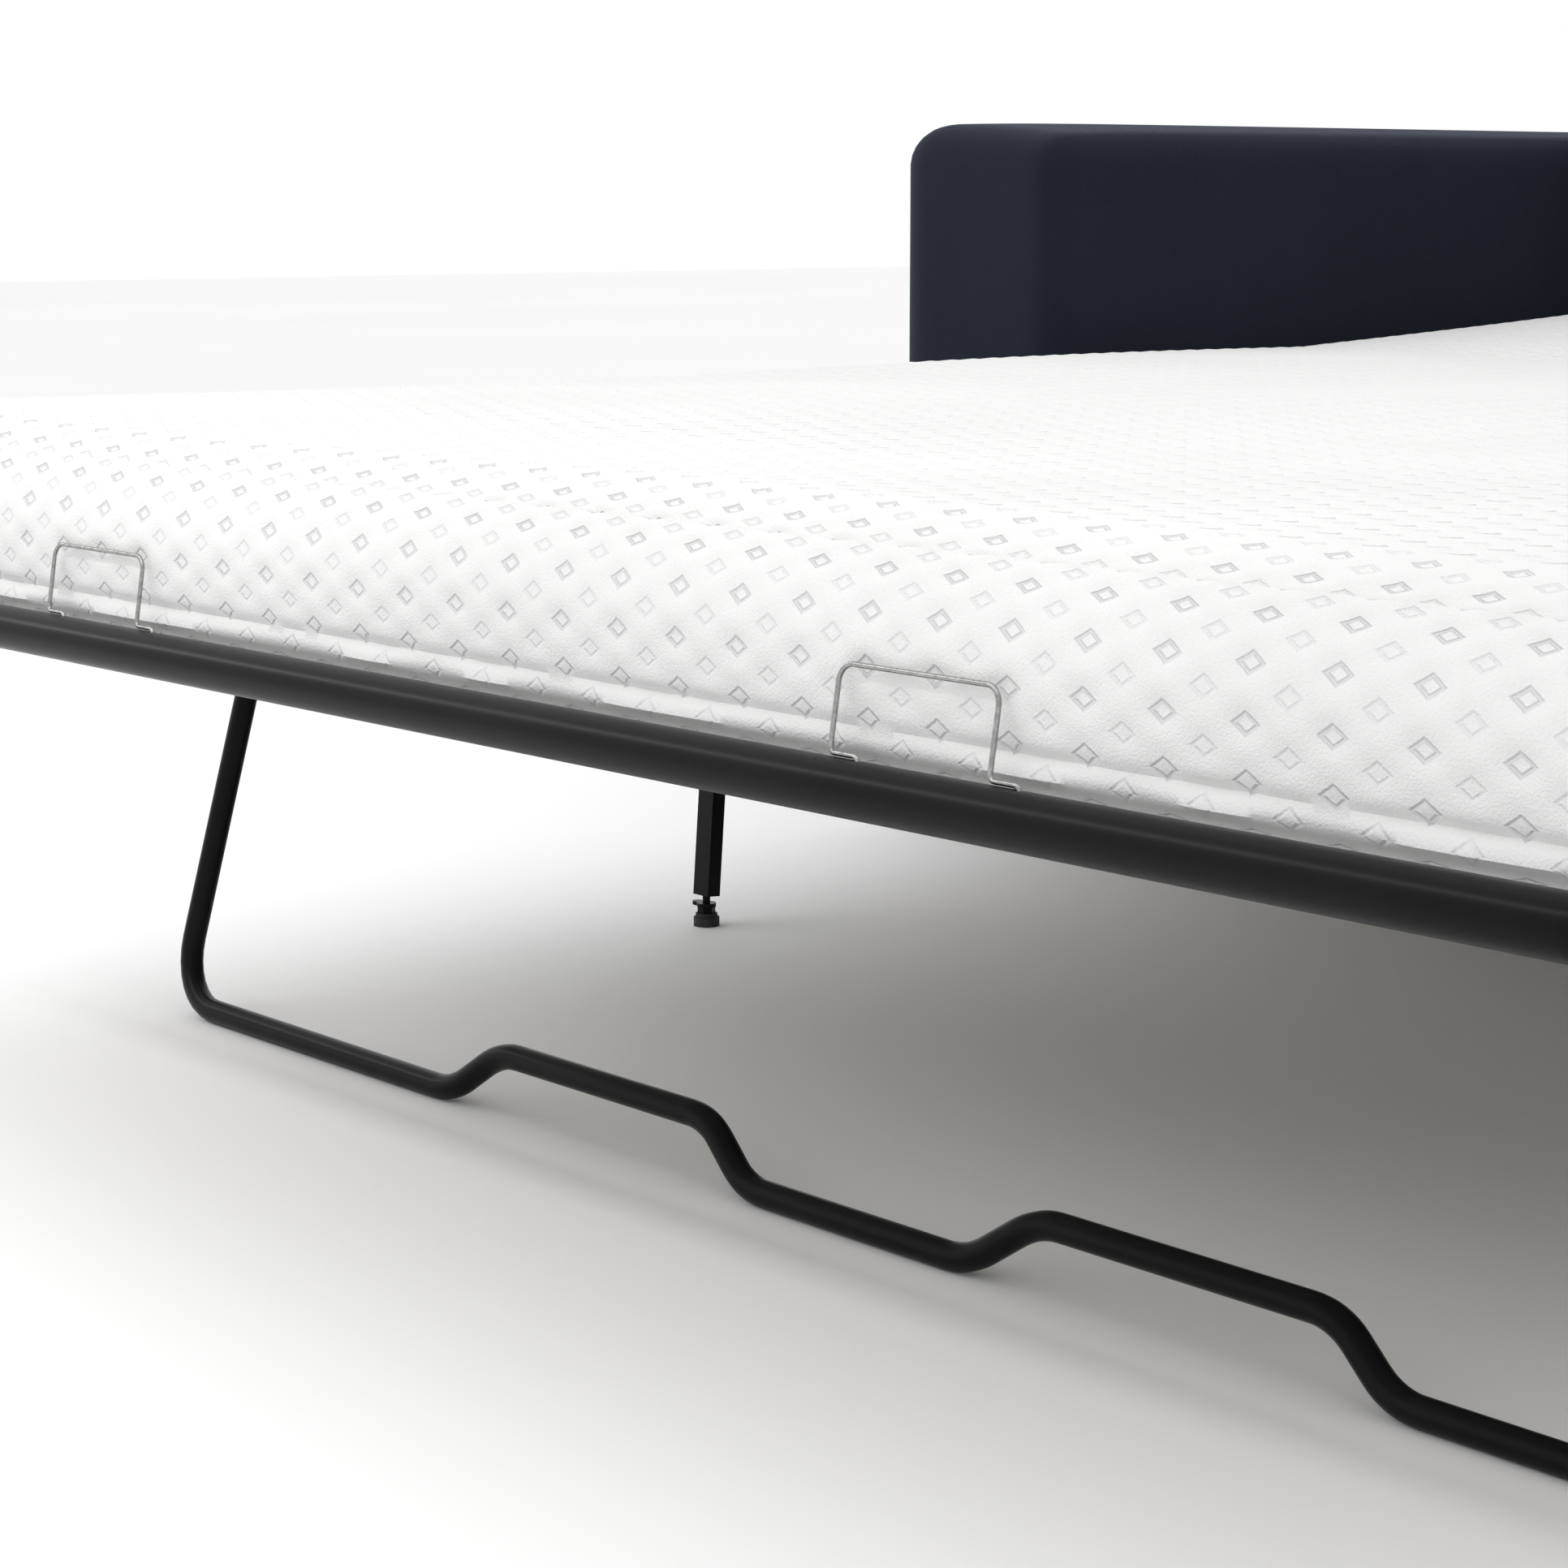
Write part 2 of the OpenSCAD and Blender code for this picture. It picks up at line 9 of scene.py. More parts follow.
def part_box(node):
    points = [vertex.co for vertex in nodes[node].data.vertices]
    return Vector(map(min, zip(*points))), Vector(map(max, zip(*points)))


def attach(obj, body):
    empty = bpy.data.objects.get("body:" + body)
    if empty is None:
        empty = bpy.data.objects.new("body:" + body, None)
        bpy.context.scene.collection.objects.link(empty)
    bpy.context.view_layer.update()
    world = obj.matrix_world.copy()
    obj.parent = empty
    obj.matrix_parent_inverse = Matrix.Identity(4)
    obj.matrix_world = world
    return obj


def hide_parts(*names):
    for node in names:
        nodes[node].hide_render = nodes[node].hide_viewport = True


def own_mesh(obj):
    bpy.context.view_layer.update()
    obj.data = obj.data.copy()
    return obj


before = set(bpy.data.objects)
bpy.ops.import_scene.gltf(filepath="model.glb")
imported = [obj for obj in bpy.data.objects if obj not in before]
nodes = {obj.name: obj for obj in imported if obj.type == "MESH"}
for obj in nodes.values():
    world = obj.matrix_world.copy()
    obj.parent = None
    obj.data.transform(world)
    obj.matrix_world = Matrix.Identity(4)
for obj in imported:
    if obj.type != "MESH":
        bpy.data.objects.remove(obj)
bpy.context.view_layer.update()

# Rail tubes: 25 mm round steel tube, bent at the corners and welded to its cross tubes.
# The finish is a satin black powder coat, with a faint orange peel and small dull patches.
def new_material(name):
    material = bpy.data.materials.new(name)
    material.use_nodes = True
    tree = material.node_tree
    return material, tree, tree.nodes["Principled BSDF"]


def add_node(tree, kind, inputs=(), **settings):
    node = tree.nodes.new(kind)
    for key, value in settings.items():
        setattr(node, key, value)
    for socket, value in dict(inputs).items():
        if isinstance(value, bpy.types.NodeSocket):
            tree.links.new(value, node.inputs[socket])
        else:
            node.inputs[socket].default_value = value
    return node


def object_noise(tree, scale, detail=3.0, stretch=(1, 1, 1)):
    place = add_node(tree, "ShaderNodeTexCoord")
    turn = add_node(tree, "ShaderNodeMapping", {"Vector": place.outputs["Object"], "Scale": stretch})
    vector = turn.outputs["Vector"]
    return add_node(tree, "ShaderNodeTexNoise", {"Vector": vector, "Scale": scale, "Detail": detail})


def two_tone(tree, factor, dark, light, low=0.3, high=0.7):
    ramp = add_node(tree, "ShaderNodeValToRGB", {"Fac": factor})
    ramp.color_ramp.elements[0].position = low
    ramp.color_ramp.elements[0].color = (*dark, 1)
    ramp.color_ramp.elements[1].position = high
    ramp.color_ramp.elements[1].color = (*light, 1)
    return ramp.outputs["Color"]


def ranged(tree, factor, low, high):
    spread = add_node(tree, "ShaderNodeMapRange", {"Value": factor, "To Min": low, "To Max": high})
    return spread.outputs["Result"]


def raise_surface(tree, shader, height, strength, distance):
    bump = add_node(tree, "ShaderNodeBump", {"Height": height, "Strength": strength, "Distance": distance})
    tree.links.new(bump.outputs["Normal"], shader.inputs["Normal"])


def powder_coat():
    material, tree, shader = new_material("satin_black_powder_coat")
    patches = object_noise(tree, 9.0).outputs["Fac"]
    peel = object_noise(tree, 900.0, 2.0).outputs["Fac"]
    colour = two_tone(tree, patches, (0.004, 0.004, 0.0045), (0.007, 0.007, 0.0075))
    tree.links.new(colour, shader.inputs["Base Color"])
    tree.links.new(ranged(tree, patches, 0.27, 0.33), shader.inputs["Roughness"])
    shader.inputs["Specular IOR Level"].default_value = 0.09
    raise_surface(tree, shader, peel, 0.12, 0.0003)
    return material


def finish_nodes(material, names):
    for name in names:
        mesh = nodes[name].data
        mesh.materials.clear()
        mesh.materials.append(material)


black_coat = powder_coat()
finish_nodes(black_coat, [
    "foot_tube", "foot_cross_tube", "head_tube", "head_cross_tube", "middle_rail_left",
    "middle_rail_right", "middle_cross_tubes", "front_link_tube", "rear_link_tube",
    "middle_leg_left", "middle_leg_right", "leveller_stem_left", "leveller_stem_right",
])


# Links, swing arms and plates: flat steel bar, punched and painted black.
# The paint is duller than the tubes' coat and rubbed a little grey where bars pass each other.
def bar_paint():
    material, tree, shader = new_material("flat_bar_paint")
    rub = object_noise(tree, 35.0, 6.0, (1, 0.3, 1)).outputs["Fac"]
    colour = two_tone(tree, rub, (0.012, 0.012, 0.013), (0.045, 0.045, 0.047), 0.45, 0.85)
    tree.links.new(colour, shader.inputs["Base Color"])
    tree.links.new(ranged(tree, rub, 0.5, 0.36), shader.inputs["Roughness"])
    shader.inputs["Metallic"].default_value = 0.2
    raise_surface(tree, shader, rub, 0.1, 0.0004)
    return material


finish_nodes(bar_paint(), [
    "side_plate_left", "side_plate_right", "swing_arm_front_left", "swing_arm_front_right",
    "swing_arm_rear_left", "swing_arm_rear_right", "front_link_left", "front_link_right",
    "rear_link_left", "rear_link_right", "fascia_brackets",
])


# Pins and bolts: turned and headed steel, zinc plated.
# The plating is bright with a soft, cloudy grain.
def zinc_plating(name, rough_low, rough_high, grain, dark=0.55, light=0.78):
    material, tree, shader = new_material(name)
    cloud = object_noise(tree, grain, 4.0).outputs["Fac"]
    colour = two_tone(tree, cloud, (dark, dark, dark * 0.98), (light, light, light * 0.98))
    tree.links.new(colour, shader.inputs["Base Color"])
    tree.links.new(ranged(tree, cloud, rough_low, rough_high), shader.inputs["Roughness"])
    shader.inputs["Metallic"].default_value = 1.0
    raise_surface(tree, shader, cloud, 0.05, 0.0002)
    return material


finish_nodes(zinc_plating("zinc_plated_steel", 0.28, 0.42, 220.0), [
    "middle_hinge_pins", "foot_hinge_pins", "head_hinge_pins", "swing_pins",
    "middle_leg_pins", "front_leg_pins", "plate_bolts",
])

# Retaining hoops: 2.4 mm spring wire, bent to a square hoop and hooked into the foot tube.
# The wire is drawn smooth, so it is darker and glossier than the zinc-plated pins.
finish_nodes(
    zinc_plating("bright_spring_wire", 0.20, 0.30, 400.0, 0.26, 0.42), ["hoop_left", "hoop_right"]
)


# Plugs and sofa feet: moulded black plastic with a fine spark-eroded texture.
# The levelling pads are rubber, duller and a little dusty.
def moulded_black(name, tone, roughness, grain):
    material, tree, shader = new_material(name)
    speckle = object_noise(tree, grain, 2.0).outputs["Fac"]
    colour = two_tone(tree, speckle, (tone, tone, tone), (tone * 1.7, tone * 1.7, tone * 1.6))
    tree.links.new(colour, shader.inputs["Base Color"])
    tree.links.new(ranged(tree, speckle, roughness, roughness + 0.12), shader.inputs["Roughness"])
    raise_surface(tree, shader, speckle, 0.2, 0.0002)
    return material


finish_nodes(
    moulded_black("moulded_plastic", 0.012, 0.45, 1400.0),
    ["sofa_feet", "foot_plugs", "middle_plugs", "head_plugs"],
)
finish_nodes(
    moulded_black("pad_rubber", 0.014, 0.7, 500.0), ["leveller_pad_left", "leveller_pad_right"]
)


# Wooden frame: sawn softwood and board inside the arms and the back.
# The grain runs along the boards, with darker late wood and a dry, rough face.
def sawn_wood(name, dark, light, stretch, roughness):
    material, tree, shader = new_material(name)
    grain = object_noise(tree, 14.0, 8.0, stretch).outputs["Fac"]
    fibre = object_noise(tree, 120.0, 3.0, stretch).outputs["Fac"]
    tree.links.new(two_tone(tree, grain, dark, light), shader.inputs["Base Color"])
    tree.links.new(ranged(tree, fibre, roughness, roughness + 0.2), shader.inputs["Roughness"])
    raise_surface(tree, shader, fibre, 0.25, 0.0006)
    return material


pine = sawn_wood("sawn_pine", (0.36, 0.22, 0.11), (0.62, 0.45, 0.27), (1, 0.12, 1), 0.6)
finish_nodes(pine, ["arm_frame_left", "arm_frame_right", "back_board", "rear_rail"])


# Front leg: 16 mm tube in the same black coat, hinged under the foot section's rails.
# It is bent in one plane to two corners and a floor bar that steps up twice.
def make_front_leg():
    low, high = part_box("front_leg")
    radius = 0.008
    half = high[0] - radius
    hinge = Vector((0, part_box("front_leg_pins")[0][1] + 0.007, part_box("front_leg_pins")[0][2] + 0.007))
    lean = math.radians(15.7)
    down = Vector((0, -math.sin(lean), -math.cos(lean)))
    drop = (hinge.z - radius) / math.cos(lean)
    step = 0.0315
    corner_bend, ramp_bend = 0.045, 0.05
    outer_foot, outer_top, inner_top, inner_foot = 0.382, 0.340, 0.136, 0.092
    outer = [(half, -radius, 0), (half, drop, corner_bend), (outer_foot, drop, ramp_bend)]
    raised = [(outer_top, drop - step, ramp_bend), (inner_top, drop - step, ramp_bend)]
    inner = [(inner_foot, drop, ramp_bend)]
    corners = outer + raised + inner
    corners += [(-x, depth, bend) for x, depth, bend in reversed(corners)]
    route = []
    for i, (x, depth, bend) in enumerate(corners):
        here = Vector((x, depth))
        if bend == 0 or i in (0, len(corners) - 1):
            route.append(here)
            continue
        before = (Vector(corners[i - 1][:2]) - here).normalized()
        after = (Vector(corners[i + 1][:2]) - here).normalized()
        half_angle = before.angle(after) / 2
        reach = bend / math.tan(half_angle)
        centre = here + (before + after).normalized() * bend / math.sin(half_angle)
        first, last = here + before * reach - centre, here + after * reach - centre
        swing = first.angle_signed(last)
        for k in range(9):
            route.append(centre + Matrix.Rotation(-swing * k / 8, 2) @ first)
    curve = bpy.data.curves.new("front_leg_bar", "CURVE")
    curve.dimensions = "3D"
    curve.bevel_depth = radius
    curve.bevel_resolution = 6
    curve.use_fill_caps = True
    spline = curve.splines.new("POLY")
    spline.points.add(len(route) - 1)
    for point, place in zip(spline.points, route):
        spot = Vector((place.x, hinge.y, hinge.z)) + down * place.y
        point.co = (*spot, 1)
    bar = bpy.data.objects.new("front_leg_bar", curve)
    bpy.context.collection.objects.link(bar)
    select_only(bar)
    bpy.ops.object.convert(target="MESH")
    bpy.ops.object.shade_smooth_by_angle(angle=math.radians(40))
    bar.data.materials.append(black_coat)
    return bar


def select_only(piece):
    bpy.ops.object.select_all(action="DESELECT")
    piece.select_set(True)
    bpy.context.view_layer.objects.active = piece


front_leg = make_front_leg()
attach(front_leg, "front_leg")
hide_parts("front_leg")


# Slats: laminated beech, straight, with rounded edges.
# Their ends sit in the slots of the rails.
def beech():
    return sawn_wood("laminated_beech", (0.56, 0.51, 0.44), (0.72, 0.67, 0.59), (0.06, 1, 1), 0.38)


def make_slats(name, count, first_y, pitch, body, tilt=0.0, hinge=(0, 0, 0)):
    low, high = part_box(name)
    pieces = []
    for i in range(count):
        bpy.ops.object.select_all(action="DESELECT")
        bpy.ops.mesh.primitive_cube_add(size=1, location=(0, first_y + i * pitch, 0))
        slat = bpy.context.object
        slat.scale = (high[0] - low[0], 0.06, 0.008)
        bpy.ops.object.transform_apply(location=True, scale=True)
        bpy.ops.object.mode_set(mode="EDIT")
        bpy.ops.mesh.bevel(offset=0.0025, segments=3)
        bpy.ops.object.mode_set(mode="OBJECT")
        bpy.ops.object.shade_smooth_by_angle(angle=math.radians(35))
        pieces.append(slat)
    select_only(pieces[0])
    for slat in pieces:
        slat.select_set(True)
    bpy.ops.object.join()
    slats = bpy.context.object
    slats.name = name + "_bevelled"
    slats.data.transform(Matrix.Translation(hinge) @ Matrix.Rotation(tilt, 4, "X"))
    slats.data.materials.append(beech_finish)
    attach(slats, body)
    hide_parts(name)


beech_finish = beech()
rail_z = 0.315
slat_mid = 0.002
half_slat = 0.03
slat_pitch = 0.085
foot_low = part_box("foot_slats")[0][1] + half_slat
middle_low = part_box("middle_slats")[0][1] + half_slat
make_slats("foot_slats", 4, foot_low, slat_pitch, "foot_section", 0, (0, 0, rail_z + slat_mid))
make_slats("middle_slats", 6, middle_low, slat_pitch, "middle_section", 0, (0, 0, rail_z + slat_mid))
head_rise = math.radians(3.5)
rear_hinge = Vector((0, 0.335, rail_z))
head_first = 0.215 + half_slat
head_lift = Vector((0, -math.sin(head_rise), math.cos(head_rise))) * slat_mid
make_slats("head_slats", 3, head_first, slat_pitch, "head_section", head_rise, rear_hinge + head_lift)


# Upholstery cloth: a soft, dense navy weave over foam and wadding.
# It has a fine crossed weave, a little colour drift and a faint sheen at grazing angles.
def upholstery_cloth():
    material, tree, shader = new_material("navy_upholstery")
    place = add_node(tree, "ShaderNodeTexCoord").outputs["Object"]
    drift = object_noise(tree, 5.0, 4.0).outputs["Fac"]
    fluff = object_noise(tree, 700.0, 3.0).outputs["Fac"]
    warp = add_node(tree, "ShaderNodeTexWave", {
        "Vector": place, "Scale": 260.0, "Distortion": 1.2, "Detail": 1.0, "Detail Scale": 3.0,
    }, bands_direction="DIAGONAL")
    weft = add_node(tree, "ShaderNodeTexWave", {
        "Vector": place, "Scale": 240.0, "Distortion": 1.4, "Detail": 1.0, "Detail Scale": 3.0,
    }, bands_direction="Z")
    weave = add_node(tree, "ShaderNodeMath", {0: warp.outputs["Fac"], 1: weft.outputs["Fac"]},
                     operation="MULTIPLY")
    cloth = add_node(tree, "ShaderNodeMath", {0: weave.outputs[0], 1: fluff}, operation="ADD")
    base = two_tone(tree, drift, (0.0055, 0.0075, 0.013), (0.0085, 0.0115, 0.019))
    shade = add_node(tree, "ShaderNodeMix", {
        "Factor": ranged(tree, fluff, 0.0, 0.5), "A": base, "B": (0.014, 0.018, 0.029, 1),
    }, data_type="RGBA")
    tree.links.new(shade.outputs["Result"], shader.inputs["Base Color"])
    shader.inputs["Roughness"].default_value = 0.92
    shader.inputs["Sheen Weight"].default_value = 0.12
    shader.inputs["Sheen Roughness"].default_value = 0.45
    shader.inputs["Sheen Tint"].default_value = (0.55, 0.62, 0.85, 1)
    shader.inputs["Specular IOR Level"].default_value = 0.12
    raise_surface(tree, shader, cloth.outputs[0], 0.35, 0.0006)
    return material


def upholstered_block(name, low, high, spacing):
    bpy.ops.object.select_all(action="DESELECT")
    size = [b - a for a, b in zip(low, high)]
    bpy.ops.mesh.primitive_cube_add(size=1, location=[(a + b) / 2 for a, b in zip(low, high)])
    block = bpy.context.object
    block.name = name
    block.scale = size
    bpy.ops.object.transform_apply(location=True, scale=True)
    for axis in range(3):
        cut_along(block, axis, low[axis], high[axis], max(1, round(size[axis] / spacing) - 1))
    return block


# Cuts a block's edges that run along an axis between start and stop into cuts + 1 equal lengths
def cut_along(block, axis, start, stop, cuts):
    shell = bmesh.new()
    shell.from_mesh(block.data)
    edges = []
    for edge in shell.edges:
        a, b = (vertex.co for vertex in edge.verts)
        if abs(a[axis] - b[axis]) > 1e-4 and start < (a[axis] + b[axis]) / 2 < stop:
            edges.append(edge)
    bmesh.ops.subdivide_edges(shell, edges=edges, cuts=cuts, use_grid_fill=True)
    shell.to_mesh(block.data)
    shell.free()


def points_of(block):
    flat = np.empty(len(block.data.vertices) * 3)
    block.data.vertices.foreach_get("co", flat)
    return flat.reshape(-1, 3)


def set_points(block, points):
    block.data.vertices.foreach_set("co", points.ravel())
    block.data.update()


# radii is ((low x, high x), (low y, high y), (low z, high z)).
# tuck is the radius of the upright edges at the bottom.
def round_off(points, low, high, radii, tuck=None):
    low, high = np.array(low), np.array(high)
    centre = (low + high) / 2
    upper = points > centre
    radius = np.where(upper, [r[1] for r in radii], [r[0] for r in radii])
    if tuck is not None:
        share = np.clip((points[:, 2] - low[2]) / (high[2] - low[2]) / 0.6, 0, 1)[:, None]
        radius[:, :2] = tuck + (radius[:, :2] - tuck) * share * share * (3 - 2 * share)
    core = np.where(upper, high - radius, low + radius)
    reach = np.clip(np.where(upper, points - core, core - points) / radius, 0, 1)
    length = np.maximum(np.linalg.norm(reach, axis=1), 1e-9)[:, None]
    rounded = reach / length
    sign = np.where(upper, 1, -1)
    moved = core + sign * radius * rounded
    return np.where(reach > 0, moved, points)


cloth = upholstery_cloth()


# Arms: a padded box over the wooden frame, wrapped over its front and top with a flat inner panel.
# The crown droops a little to the front and the inner side, and the outer edge is rounder than the inner one.
def make_arm(name, side):
    low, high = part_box(name)
    arm = upholstered_block(name.replace("cover", "upholstery"), low, high, 0.012)
    outer, inner = 0.048, 0.020
    front, rear, bottom, top = 0.036, 0.03, 0.012, 0.038
    across = (outer, inner) if side < 0 else (inner, outer)
    points = round_off(points_of(arm), low, high, (across, (front, rear), (bottom, top)))
    inward = high[0] if side < 0 else low[0]
    share = np.abs(points[:, 0] - inward) / (high[0] - low[0])
    along = (points[:, 1] - low[1]) / (high[1] - low[1])
    height = np.clip((points[:, 2] - low[2]) / (high[2] - low[2]), 0, 1)
    crown = np.clip((height - 0.9) / 0.1, 0, 1)
    droop = 0.004 * np.exp(-along / 0.08) + 0.012 * (1 - share) ** 2
    points[:, 2] -= crown * droop
    sag = np.sin(points[:, 1] * 9.0) * np.sin(points[:, 2] * 7.0 + 1.0)
    points[:, 0] += 0.0012 * sag * np.where(share < 0.05, 1, 0)
    set_points(arm, points)
    recess_under(arm, side, low, high)
    arm.data.materials.append(cloth)
    select_only(arm)
    bpy.ops.object.shade_smooth()
    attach(arm, "sofa")
    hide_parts(name)


# The cloth stops short of the mechanism, where the bare frame board carries its side plate
def recess_under(arm, side, low, high):
    inner_x = (high[0] - 0.013) if side < 0 else (low[0] + 0.013)
    bpy.ops.object.select_all(action="DESELECT")
    bpy.ops.mesh.primitive_cube_add(size=1)
    cutter = bpy.context.object
    reach, length, height = 0.06, 0.92, 0.36
    front_end, middle_height = 0.122, 0.045
    cutter.scale = (reach, length, height)
    cutter.location = (inner_x - side * reach / 2 + side * 0.001, front_end + length / 2, middle_height)
    bpy.ops.object.transform_apply(location=True, scale=True)
    select_only(arm)
    cut = arm.modifiers.new("recess", "BOOLEAN")
    cut.object = cutter
    cut.solver = "EXACT"
    bpy.ops.object.modifier_apply(modifier="recess")
    bpy.data.objects.remove(cutter)


make_arm("arm_cover_left", -1)
make_arm("arm_cover_right", 1)


# Back: a tight padded back between the arms, with a crowned front and a soft top edge.
# It has no loose cushions, because the folding head section passes close in front of it.
def make_back():
    low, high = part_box("back_cover")
    back = upholstered_block("back_upholstery", low, high, 0.016)
    points = round_off(points_of(back), low, high, ((0.012, 0.012), (0.05, 0.018), (0.03, 0.05)))
    share = (points[:, 2] - low[2]) / (high[2] - low[2])
    across = np.clip(1 - np.abs(points[:, 0]) / high[0], 0, 1)
    front = points[:, 1] < low[1] + 0.02
    hollow = 0.012 * (1 - np.sin(np.pi * share) * np.minimum(1, across * 6))
    points[:, 1] += np.where(front, hollow, 0)
    set_points(back, points)
    back.data.materials.append(cloth)
    select_only(back)
    bpy.ops.object.shade_smooth()
    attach(back, "sofa")
    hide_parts("back_cover")


make_back()


# Fascia board and front stretcher: boards wrapped tightly in the upholstery cloth.
# Thin wadding under the cloth rounds their edges.
def wrap_board(name, body, radius):
    low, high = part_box(name)
    board = upholstered_block(name + "_wrapped", low, high, 0.02)
    set_points(board, round_off(points_of(board), low, high, ((radius, radius),) * 3))
    board.data.materials.append(cloth)
    select_only(board)
    bpy.ops.object.shade_smooth()
    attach(board, body)
    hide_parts(name)


wrap_board("fascia_board", "front_links", 0.005)
wrap_board("front_stretcher", "sofa", 0.006)


# Mattress: one foam block in a white quilted knit cover, pleated round its lower edge.
# Staggered tufted diamonds pull the knit down between soft puffs; it lies on all five sections.
def knit_cover():
    material, tree, shader = new_material("white_quilted_knit")
    uv = add_node(tree, "ShaderNodeUVMap", uv_map="cover").outputs["UV"]
    squares = tufted_squares(tree, uv)
    yarn = add_node(tree, "ShaderNodeTexVoronoi", {"Vector": uv, "Scale": 900.0})
    knit = add_node(tree, "ShaderNodeMath", {0: yarn.outputs["Distance"], 1: 0.25}, operation="MULTIPLY")
    height = add_node(tree, "ShaderNodeMath", {0: squares, 1: knit.outputs[0]}, operation="SUBTRACT")
    tone = object_noise(tree, 4.0).outputs["Fac"]
    base = two_tone(tree, tone, (0.75, 0.75, 0.745), (0.79, 0.79, 0.785))
    # Painted shade: the knit's colour is greyed towards 0.5 in the groove round each diamond, where the
    # tufting falls into shadow
    shade = add_node(tree, "ShaderNodeMix", {
        "Factor": ranged(tree, squares, 0.20, 0.0), "A": base, "B": (0.50, 0.50, 0.505, 1),
    }, data_type="RGBA")
    tree.links.new(shade.outputs["Result"], shader.inputs["Base Color"])
    shader.inputs["Roughness"].default_value = 0.9
    shader.inputs["Sheen Weight"].default_value = 0.15
    shader.inputs["Specular IOR Level"].default_value = 0.2
    raise_surface(tree, shader, height.outputs[0], 0.8, 0.0012)
    return material


# 1 on the puffs, falling in the groove round each diamond and rising again in its middle
def tufted_squares(tree, uv):
    split = add_node(tree, "ShaderNodeSeparateXYZ", {"Vector": uv})
    heights = []
    for shift, depth in ((0.0, 1.0), (0.5, 0.5)):
        offsets = []
        for axis, pitch in (("X", square_pitch), ("Y", row_pitch)):
            cell = add_node(tree, "ShaderNodeMath", {0: split.outputs[axis], 1: 1 / pitch, 2: shift + 0.5},
                            operation="MULTIPLY_ADD")
            part = add_node(tree, "ShaderNodeMath", {0: cell.outputs[0]}, operation="FRACT")
            centred = add_node(tree, "ShaderNodeMath", {0: part.outputs[0], 1: 0.5}, operation="SUBTRACT")
            metres = add_node(tree, "ShaderNodeMath", {0: centred.outputs[0], 1: pitch}, operation="MULTIPLY")
            offsets.append(add_node(tree, "ShaderNodeMath", {0: metres.outputs[0]}, operation="ABSOLUTE"))
        distance = add_node(tree, "ShaderNodeMath", {
            0: offsets[0].outputs[0], 1: square_slant, 2: offsets[1].outputs[0],
        }, operation="MULTIPLY_ADD")
        off_rim = add_node(tree, "ShaderNodeMath", {0: distance.outputs[0], 1: square_half},
                           operation="SUBTRACT")
        rim = add_node(tree, "ShaderNodeMath", {0: off_rim.outputs[0]}, operation="ABSOLUTE")
        groove = add_node(tree, "ShaderNodeMapRange", {
            "Value": rim.outputs[0], "From Min": 0.0, "From Max": 0.0016,
            "To Min": 1.0 - depth, "To Max": 1.0,
        }, interpolation_type="SMOOTHSTEP")
        heights.append(groove)
    both = add_node(tree, "ShaderNodeMath", {
        0: heights[0].outputs["Result"], 1: heights[1].outputs["Result"],
    }, operation="MULTIPLY")
    return both.outputs[0]


square_pitch = 0.043
row_pitch = 0.0225
square_half = 0.0040
square_slant = 0.66
mattress_low = Vector((-0.75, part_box("mattress_foot")[0][1] + 0.003, 0.320))
mattress_high = Vector((0.75, 0.0, 0.433))
section_ends = [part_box(name)[1][1] for name in ("mattress_foot", "mattress_front_link", "mattress_middle")]
rear_link_end = rear_hinge.y + 0.157
head_end = rear_hinge.y + 0.495
section_ends = [round(end, 3) for end in section_ends] + [rear_link_end, head_end]


def make_mattress_block():
    low = mattress_low
    high = Vector((mattress_high.x, head_end, mattress_high.z))
    bpy.ops.object.select_all(action="DESELECT")
    bpy.ops.mesh.primitive_cube_add(size=1, location=(low + high) / 2)
    block = bpy.context.object
    block.name = "mattress"
    block.scale = high - low
    bpy.ops.object.transform_apply(location=True, scale=True)
    fine_end = low.y + 0.245
    stops = [low.y, fine_end] + section_ends
    bpy.ops.object.mode_set(mode="EDIT")
    for stop in stops[1:-1]:
        bpy.ops.mesh.select_all(action="SELECT")
        bpy.ops.mesh.bisect(plane_co=(0, stop, 0), plane_no=(0, 1, 0))
    bpy.ops.object.mode_set(mode="OBJECT")
    for start, stop in zip(stops[:-1], stops[1:]):
        step = row_pitch / 6 if stop <= fine_end else row_pitch / 3
        cut_along(block, 1, start, stop, round((stop - start) / step) - 1)
    cut_along(block, 2, low.z, high.z, round((high.z - low.z) / (row_pitch / 6)) - 1)
    cut_along(block, 0, low.x, high.x, round((high.x - low.x) / (square_pitch / 12)) - 1)
    return block, low, high


block, block_low, block_high = make_mattress_block()
start_points = points_of(block)


# Distance along the cover, so that the quilting runs unbroken over the edges
def cover_map(block, points, low, high):
    mesh = block.data
    layer = mesh.uv_layers.new(name="cover")
    corner = np.empty(len(mesh.loops), dtype=np.int64)
    mesh.loops.foreach_get("vertex_index", corner)
    normals = np.empty(len(mesh.polygons) * 3)
    mesh.polygons.foreach_get("normal", normals)
    totals = np.empty(len(mesh.polygons), dtype=np.int64)
    mesh.polygons.foreach_get("loop_total", totals)
    facing = np.repeat(normals.reshape(-1, 3), totals, axis=0)
    place = points[corner]
    drop = high.z - place[:, 2]
    u = place[:, 0] + np.where(np.abs(facing[:, 0]) > 0.5, np.sign(facing[:, 0]) * drop, 0)
    v = place[:, 1] - low.y + np.where(np.abs(facing[:, 1]) > 0.5, np.sign(facing[:, 1]) * drop, 0)
    layer.data.foreach_set("uv", np.stack([u, v], axis=1).ravel())


cover_map(block, start_points, block_low, block_high)


